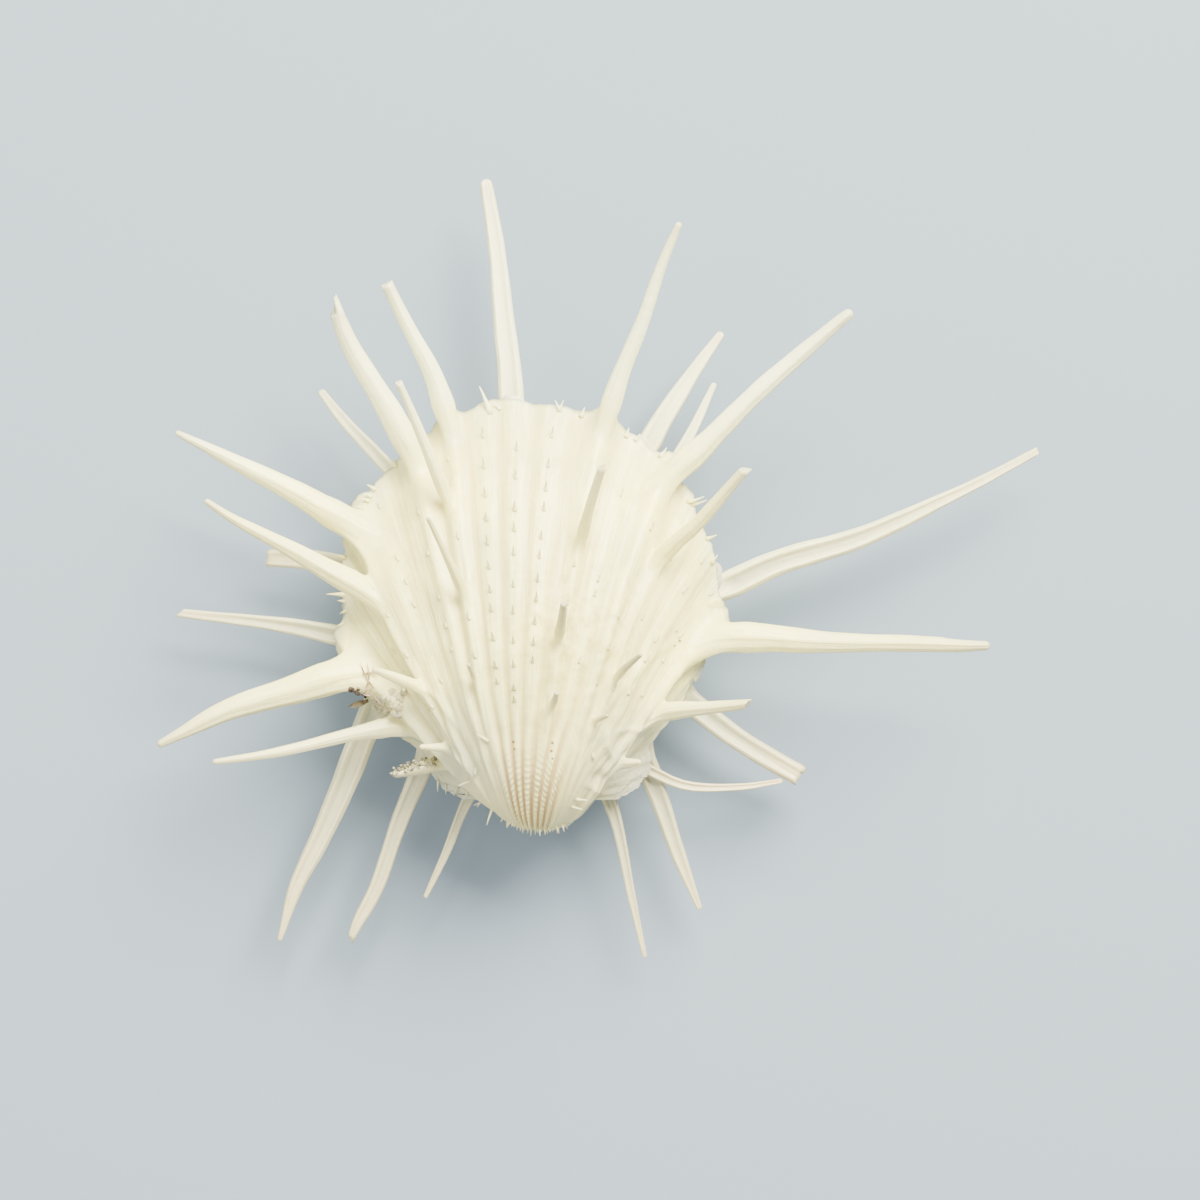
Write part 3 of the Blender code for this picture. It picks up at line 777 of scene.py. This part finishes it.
# Rows of prickles on the three middle ribs, as distances from the hinge line in plan, and how far apart they
# stand on the other ribs. Then how upright and how far forward each kind leans, its lengths and its radii.
PRICKLE_ROWS = {
    -8.3: (72.4, 66.6, 60.8, 56.0, 51.4, 46.8, 42.0, 38.4, 32.0, 27.0, 23.8),
    -2.8: (70.4, 64.2, 58.0, 54.4, 49.0, 43.2, 37.2, 31.8, 27.0, 22.6, 19.8),
    2.4: (72.6, 66.6, 61.8, 57.8, 52.6, 48.6, 44.0, 39.8, 35.2, 31.2, 27.6),
}
SIDE_PRICKLE_RIBS = (-39.5, -35, -28, -21, -14, 9.8, 15.6, 22.2, 28.4, 34.4, 40.4)
SIDE_PRICKLE_GROWTHS = (0.92, 0.82, 0.73, 0.65, 0.57, 0.5, 0.44)
MIDDLE_PRICKLE = (1.0, 0.55, (1.5, 2.2), (0.48, 0.62))
SIDE_PRICKLE = (0.7, 1.0, (0.9, 1.6), (0.3, 0.42))
MISSING_PRICKLES = 0.4

# Little spikes on the margin and the ears: x and y from the hinge of the root, of the tip, and width
SPIKES = (
    (-10.4, 78.2, -11.6, 82.2, 1.5), (-8.0, 78.6, -8.8, 79.8, 1.1), (3.9, 78.4, 3.3, 80.0, 1.0),
    (4.1, 78.4, 5.0, 79.8, 1.0), (8.4, 76.8, 9.0, 78.0, 1.2), (17.2, 73.2, 17.7, 74.4, 1.2),
    (19.2, 72.4, 20.0, 73.2, 1.1), (24.2, 69.2, 25.2, 70.4, 1.2), (30.4, 59.6, 32.8, 60.2, 1.1),
    (31.0, 58.8, 33.2, 59.3, 1.0), (33.4, 52.2, 35.0, 52.7, 1.1), (34.4, 48.0, 35.4, 49.0, 1.2),
    (-29.8, 67.4, -30.7, 68.7, 1.1), (-33.2, 62.2, -34.3, 63.0, 1.3), (-33.9, 61.0, -35.0, 61.7, 1.2),
    (-34.5, 60.0, -35.6, 60.5, 1.2), (-35.2, 58.6, -36.2, 58.9, 1.2), (-39.4, 48.8, -40.6, 49.2, 1.1),
    (-39.8, 46.4, -40.9, 46.6, 1.0), (-39.9, 39.4, -40.9, 39.6, 1.0), (-39.8, 37.6, -40.7, 37.3, 1.0),
    (-39.6, 35.4, -40.5, 35.1, 1.0), (-40.0, 41.2, -42.6, 41.5, 1.2), (-20.6, 3.0, -20.8, 1.4, 0.7),
    (-18.8, 2.6, -18.9, 1.2, 0.6), (-16.6, 2.2, -17.3, 1.1, 0.7), (-14.4, 1.8, -15.2, 0.4, 0.7),
    (-10.8, 1.0, -12.4, -0.7, 0.9), (-9.2, -1.0, -10.6, -4.0, 1.0), (-10.0, 0.4, -12.8, -0.4, 0.9),
    (-12.5, 6.0, -12.2, 7.9, 0.8), (-13.2, 4.4, -15.8, 3.6, 0.9), (10.6, 9.4, 10.0, 11.4, 0.8),
    (6.8, -0.8, 8.4, -1.4, 0.9), (7.6, 0.6, 9.4, 0.3, 0.9), (-10.3, 12.8, -11.8, 13.9, 1.0),
)

# Thin rounded scales of the margin: x and y from the hinge of the root, the way out in plan, length, width,
# rise and cup
SCALES = (
    (33.6, 38.0, 1.0, 0.0, 4.0, 5.0, 0.5, 0.4), (31.0, 26.0, 1.0, -0.3, 3.0, 5.4, -0.3, 0.3),
)

# Low folds of the wall: growth edges of the ears, and webs that run back from the side spines
FOLDS = (
    (0.55, 0.45, [(-17.3, 9.7), (-15.6, 8.3), (-14.4, 6.2), (-14.4, 4.6)]),
    (0.45, 0.55, [(-23.7, 23.7), (-20.8, 20.8), (-17.9, 16.7), (-16.7, 14.2)]),
    (0.6, 0.9, [(-31.9, 38.3), (-28.4, 33.0), (-26.1, 28.4), (-24.3, 24.3)]),
    (0.5, 0.9, [(-38.4, 52.3), (-34.2, 48.2), (-32.3, 44.0)]),
    (0.5, 0.6, [(9.6, 2.8), (11.4, 1.8), (13.4, 1.3), (15.6, 1.6)]),
    (-0.7, 1.1, [(10.6, 3.4), (11.8, 4.4), (13.4, 4.6)]),
    (0.5, 0.7, [(15.0, 2.0), (17.4, 3.4), (18.6, 5.2)]),
    (0.6, 0.6, [(13.8, 13.9), (13.4, 10.9), (14.4, 8.3)]),
    (0.45, 0.5, [(15.3, 13.6), (20.2, 14.8), (24.7, 16.7)]),
    (0.4, 0.5, [(-20.6, 13.0), (-22.6, 9.4), (-21.0, 5.6)]),
    (0.4, 0.8, [(30.0, 33.2), (22.0, 28.0), (15.0, 20.0), (10.6, 13.0)]),
    (-0.45, 0.8, [(-29.0, 22.0), (-23.4, 18.4), (-19.0, 13.6)]),
)


def upper_small_growths(wall, normal, rib, growth):
    """Prickles in rows on the ribs, bristles on the beak, and spikes and scales on the margin."""
    rng = np.random.default_rng(7)
    wall_points = wall.reshape(-1, 3)
    prickles = []

    def prickle(row, column, upright, leaning, lengths, radii):
        """Adds a prickle as its root, way, length and radius."""
        forward = unit(wall[row - 3, column] - wall[row, column])
        way = normal[row, column] * upright + forward * leaning
        prickles.append((*wall[row, column], *way, rng.uniform(*lengths), rng.uniform(*radii)))

    def nearest(x, y):
        """Number of the wall point that is nearest in plan."""
        return np.linalg.norm(wall_points[:, :2] - (x, y), axis=1).argmin()

    for angle, distances in PRICKLE_ROWS.items():
        column = np.abs(rib[0] - angle).argmin()
        rows = np.arange(4, ROWS * 3 // 4)
        seen = as_seen(wall[rows, column, :2], wall[rows, column, 2:])[:, 1]
        order = np.argsort(seen)
        for row in np.interp(distances, seen[order], rows[order]).round().astype(int):
            prickle(row, column, *MIDDLE_PRICKLE)
    for angle in SIDE_PRICKLE_RIBS:
        column = np.abs(rib[0] - angle).argmin()
        for value in SIDE_PRICKLE_GROWTHS:
            row = np.abs(growth[:, 0] - value - rng.uniform(-0.03, 0.03)).argmin()
            if rng.random() >= MISSING_PRICKLES:
                prickle(row, column, *SIDE_PRICKLE)
    places, ways, sizes = np.split(np.array(prickles), [3, 6], axis=1)
    along = np.repeat(np.linspace(-0.1, 2.0, CONE_ROWS), CONE_SIDES)
    yield *cones(places, ways, *sizes.T, (0, 0.25, 0)), stacked(0.0, np.clip(along, 0, 2), 0.3)

    numbers = np.arange(5.0, 25.5, 0.5)
    rows = ROWS - 3 - rng.integers(0, 16, len(numbers))
    columns = np.abs(rib_number(rib, growth)[rows] - numbers[:, None]).argmin(axis=1)
    out = normal[rows, columns] + [0, -0.5, 0]
    lengths, radii = rng.uniform(0.8, 1.7, len(out)), rng.uniform(0.26, 0.38, len(out))
    yield *cones(wall[rows, columns], out, lengths, radii, 0), (0.0, 0.0, 0.9)

    x, y, tip_x, tip_y, width = np.array(SPIKES).T
    roots = wall_points[[nearest(*place) for place in zip(x, y)]] + [0, 0, 0.25]
    reach = stacked(tip_x - x, tip_y - y, 0.25)
    bend = stacked(-0.12 * reach[:, 1], 0.12 * reach[:, 0], 0.3)
    lengths = 1.15 * np.linalg.norm(reach, axis=1)
    yield *cones(roots, reach, lengths, 0.5 * width, bend), (0.0, 0.15, 0.2)

    for x, y, out_x, out_y, *sizes in SCALES:
        number = nearest(x, y)
        up = normal.reshape(-1, 3)[number]
        out = np.array([out_x, out_y, 0.0]) - up * (up[:2] @ (out_x, out_y))
        yield *scale(wall_points[number] + up * 0.3, out, np.cross(up, out), *sizes, 0.45), (0.0, 0.0, 0.15)


# In metres in the frame: the middle of the worn patch, and x, y and radius of each brown pit
WORN_PATCH = (0.009, 0.006, 0.047)
PITS = (
    (-0.0049, -0.0137, 0.0004), (-0.0047, -0.0151, 0.0003), (0.0027, -0.0139, 0.0004),
    (0.0025, -0.0155, 0.0004), (0.0027, -0.0170, 0.0003), (0.0272, 0.0077, 0.0003),
    (0.0278, 0.0059, 0.0004), (0.0268, 0.0049, 0.0003),
)
upper_shell = valve("upper_shell", side=1, coil=1.3, groove_depth=0.62, bead_height=0.5, hollow_depth=0.84,
                    drawn_in=0.0, spines={**UPPER_SPINES, **UPPER_THORNS}, channel=0.25, folds=FOLDS,
                    small_growths=upper_small_growths)
upper_shell.data.materials.append(calcite("satin cream-white calcite", {
    "body": "#F7EB90", "cool": "#D9D492", "streak": "#FFF9B2", "worn": "#BFB25A", "groove": "#CABA6E",
    "beak": "#F0DC9A", "beak_groove_shade": "#C4A678", "tip": "#ECE1A0", "thorn": "#938F6C", "ear": "#BDBBA2",
    "rim": "#D2D0B4", "front": "#FCFCCC", "broken": "#CBC09E", "pit": "#6B5238"}, (WORN_PATCH,), PITS))
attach(upper_shell, "root")
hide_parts("upper_valve")

# Lower valve
# The attached valve: a deeper, thicker bowl of calcite with bare ribs, greyer and darker than the upper
# valve, partly in its own tone and partly as painted shade of lying under it. Its spines leave just under the
# margin with their channelled inner face up. The scar, where it was cemented to rock, is flat.
LOWER_SPINES = {
    "front": (3.6, 5, [
        (-5.5, 72, 6.0), (-6.2, 86, 4.8), (-8, 104, 3.8), (-10.5, 121.5, 2.6), (-11, 124.2, 1.8)], "round"),
    "front_right_blue": (3.6, 6, [
        (19, 66, 5.2), (24, 75.5, 4.2), (28.5, 82.5, 3.4), (36.5, 93.5, 1.6)], "round"),
    "front_right_small": (3.4, 5, [
        (22, 59.5, 3.4), (27, 68, 2.6), (31, 75, 2.0), (35, 83.4, 1.2)], "round"),
    "right_long": (4.0, 6, [
        (29, 39, 6.8), (47, 47, 5.2), (65, 53, 4.2), (81, 60, 2.8), (100, 70, 1.6)], "cut"),
    "right_cut": (4.2, 8, [(26, 23, 5.4), (33, 17, 4.6), (39, 12.6, 4.4), (53, 4.2, 4.2)], "cut"),
    "right_ear_thin": (3.0, 6, [(20, 7, 2.4), (29, 3, 1.9), (40, 2.6, 1.4), (48.5, 3.8, 1.0)], "round"),
    "rear_right": (3.6, 9, [(19, 12, 5.4), (23.4, 1, 4.0), (28, -11.5, 2.8), (32, -22, 1.0)], "round"),
    "rear_thin": (3.0, 9, [(11, 7, 3.6), (15, -4, 2.5), (18.5, -20, 1.6), (21, -31.6, 0.9)], "round"),
    "rear_short": (3.0, 8, [
        (-11.5, 6, 2.8), (-16, -3.5, 2.0), (-18.6, -10, 1.7), (-23, -19.6, 0.9)], "round"),
    "rear_left": (3.2, 9, [
        (-21.5, 11, 4.6), (-24.4, 4.2, 4.0), (-28.3, -5.2, 3.4), (-32.7, -17.2, 3.0), (-36.2, -24, 2.4),
        (-38, -28.2, 1.3)], "oblique"),
    "left_rear": (4.0, 9, [
        (-29, 27, 6.0), (-38, 6.5, 5.2), (-44, -8, 4.2), (-49, -18, 2.8), (-52.2, -28.2, 0.9)], "round"),
    "left_straight": (3.6, 6, [(-35, 32, 4.6), (-55.5, 35.5, 2.7), (-72.5, 37.5, 1.6)], "oblique"),
    "left_broken": (4.0, 6, [(-35, 46, 4.8), (-47, 48, 4.0), (-55.5, 48.5, 3.2)], "cut"),
    "left_front_short": (3.4, 5, [(-28, 64, 3.4), (-38, 74.5, 2.4), (-44, 82, 1.6)], "round"),
}
lower_shell = valve("lower_shell", side=-1, coil=1.15, groove_depth=0.7, bead_height=0.0, hollow_depth=0.72,
                    drawn_in=1.0, spines=LOWER_SPINES, channel=0.75)
# Its darker tips, grooves and hinge end are partly painted shade, as this valve lies under the upper one
lower_shell.data.materials.append(calcite("satin calcite, grey-white with painted shade", {
    "body": "#EAE2A6", "cool": "#CFCFAE", "streak": "#F6F1BC", "groove": "#ACAB8E", "beak": "#DDD3B8",
    "beak_groove_shade": "#B3A284", "tip": "#D6CC9A", "thorn": "#CDB382", "ear": "#B1AC8E", "rim": "#D4D4C4",
    "front": "#F4F0C4", "broken": "#CBC09E"}, (), ()))
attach(lower_shell, "root")
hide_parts("lower_valve")

# Crust and debris
# What the sea left: clumps of glassy crust with dry fibres and a brown flake caught on the left margin, and
# crumbs of grey and olive sediment stuck to the broken thorn of the left ear, all held by their own cement.
GRAIN_SIDES = 8
GRAIN_RINGS = 5
FIBRE_SIDES = 5


def grains(centres, radii, seed):
    """Rough round grains as one mesh: spheres, squashed and pushed in and out by sines."""
    rng = np.random.default_rng(seed)
    ids = np.arange(GRAIN_RINGS * GRAIN_SIDES).reshape(GRAIN_RINGS, GRAIN_SIDES)
    turn = 2 * np.pi * np.arange(GRAIN_SIDES) / GRAIN_SIDES
    rise = np.pi * np.arange(1, GRAIN_RINGS + 1)[:, None] / (GRAIN_RINGS + 1)
    ball = stacked(np.sin(rise) * np.cos(turn), np.sin(rise) * np.sin(turn), np.cos(rise)).reshape(-1, 3)
    ball = np.vstack([ball, [0, 0, 1], [0, 0, -1]])
    stretch = rng.uniform(0.65, 1.25, (len(centres), 1, 3))
    waves = rng.uniform(0, 6.28, (len(centres), 1, 3))
    rough = 1 + 0.22 * np.sin(3.1 * ball @ rng.normal(size=(3, 3)) + waves).sum(axis=2, keepdims=True)
    points = centres[:, None] + ball * stretch * rough * radii[:, None, None]
    faces = tube_faces(ids)[:-2]
    for pole, ring in ((ids.size, ids[0]), (ids.size + 1, ids[-1])):
        faces += stacked(pole, ring, np.roll(ring, -1)).tolist()
    return points.reshape(-1, 3), repeated(faces, np.arange(len(points)) * len(ball))


def tubes(paths, radius):
    """Thin fibres as one mesh: a circle carried along each smooth path, narrowing to its ends as a sine."""
    points, faces = [], []
    for knots in paths:
        curve = smooth_path(knots, 6)
        circle = circles(unit(np.gradient(curve, axis=0)), [0.31, 0.22, 0.93], FIBRE_SIDES)
        taper = radius * np.sin(np.pi * np.linspace(0.12, 0.95, len(curve)))[:, None, None]
        start = sum(len(group) for group in points)
        faces += tube_faces(start + np.arange(len(curve) * FIBRE_SIDES).reshape(-1, FIBRE_SIDES))
        points.append((curve[:, None] + taper * circle).reshape(-1, 3))
    return np.vstack(points), faces


def debris(name, points, faces, material_name, dark, light, inputs):
    """A piece of debris that rides on the shell, whose colour changes from grain to grain by noise."""
    material, shader = new_material(material_name, inputs)
    place = add_node(material, "TexCoord").outputs["Object"]
    noise = add_node(material, "TexNoise", {"Scale": 900.0, "Detail": 2.0}, {"Vector": place})
    ramp = add_node(material, "MapRange", {"From Min": 0.35, "From Max": 0.62},
                    {"Value": noise.outputs["Fac"]})
    mix = add_node(material, "Mix", {"data_type": "RGBA", 6: linear(dark), 7: linear(light)},
                   {"Factor": ramp.outputs["Result"]})
    material.node_tree.links.new(mix.outputs[2], shader.inputs["Base Color"])
    piece = mesh_object(name, points, faces)
    piece.data.materials.append(material)
    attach(piece, "root")


def rows_of_three(values, key):
    """A key of every item as rows of three numbers."""
    flat = np.empty(3 * len(values))
    values.foreach_get(key, flat)
    return flat.reshape(-1, 3)


vertices = rows_of_three(upper_shell.data.vertices, "co") / MILLIMETRE
on_a_spine = rows_of_three(upper_shell.data.attributes["tint"].data, "vector")[:, 1] > 0


def on_shell(plan, surface, reach=0.6):
    """The highest point of a part of the shell in reach of each place, which is x and y from the hinge.

    A place with nothing in reach is left out.
    """
    places = np.asarray(plan) + [0.0, HINGE_Y]
    near = [surface[np.linalg.norm(surface[:, :2] - place, axis=1) < reach] for place in places]
    return np.array([[*place, group[:, 2].max()] for place, group in zip(places, near) if len(group)])


rng = np.random.default_rng(11)
crust_plan = np.column_stack([rng.uniform(-33.0, -26.6, 80), rng.uniform(16.6, 22.4, 80)])
crust_plan[:, 0] += 0.3 * (crust_plan[:, 1] - 20)
crust_places = on_shell(crust_plan, vertices[~on_a_spine]) - [0, 0, 0.35]
debris("glassy_crust", *grains(crust_places, rng.uniform(0.3, 0.8, len(crust_places)), 3),
       "clear grey crust", "#E9DFB0", "#FFF9DC", {"Roughness": 0.14, "Transmission Weight": 0.6, "IOR": 1.3})

# Fibres as x and y from the hinge
FIBRES = [
    [(-35.6, 27.6), (-34.6, 25.2), (-33.4, 23.2), (-31.8, 21.2)],
    [(-36.4, 22.8), (-34.6, 22.2), (-32.6, 22.8)],
    [(-34.2, 27.4), (-33.8, 24.6), (-34.4, 21.8), (-33.2, 19.8)],
    [(-35.6, 21.6), (-34.0, 21.0), (-32.4, 21.6)],
    [(-35.2, 25.2), (-33.4, 25.6), (-32.0, 24.4)],
    [(-33.6, 21.8), (-31.8, 19.6), (-30.2, 18.8)],
]
near_the_margin = vertices[vertices[:, 2] < MARGIN_HEIGHT + 8]
fibre_paths = [on_shell(path, near_the_margin, 1.2) + [0, 0, 0.3] for path in FIBRES]
debris("dry_fibres", *tubes([path for path in fibre_paths if len(path) > 1], 0.16),
       "dry brown fibre", "#5B4634", "#A89274", {"Roughness": 0.7})

# Dark bits as x and y from the hinge, and radius
DARK_BITS = np.array([(-37.4, 22.4, 0.5), (-36.8, 21.8, 0.4), (-36.2, 21.4, 0.55), (-35.4, 21.2, 0.35),
                      (-34.9, 20.8, 0.3), (-36.0, 22.2, 0.3)])
dark_places = on_shell(DARK_BITS[:, :2], vertices)
debris("dark_bits", *grains(dark_places, DARK_BITS[:len(dark_places), 2], 5),
       "dark humus", "#2E241D", "#5A4636", {"Roughness": 0.8})

flake_root = on_shell([(-34.2, 19.8)], vertices, 1.5)[0]
flake_points, flake_faces = scale(flake_root, (-1.0, -0.25, 0.05), (-0.2, 1.0, 0.3),
                                  4.2, 1.4, 0.3, 0.25, 0.25)
debris("brown_flake", flake_points[0], flake_faces,
       "dry brown flake", "#4A3B2C", "#85765C", {"Roughness": 0.65})

crumb_plan = np.column_stack([rng.uniform(-29.0, -20.4, 90), rng.uniform(6.5, 8.4, 90)])
crumb_plan[:, 1] += 0.2 * (crumb_plan[:, 0] + 24)
crumb_places = on_shell(crumb_plan, vertices[on_a_spine])
debris("sediment_crumbs", *grains(crumb_places, rng.uniform(0.12, 0.38, len(crumb_places)), 9),
       "olive and grey sediment", "#3A3626", "#ADA683", {"Roughness": 0.75})
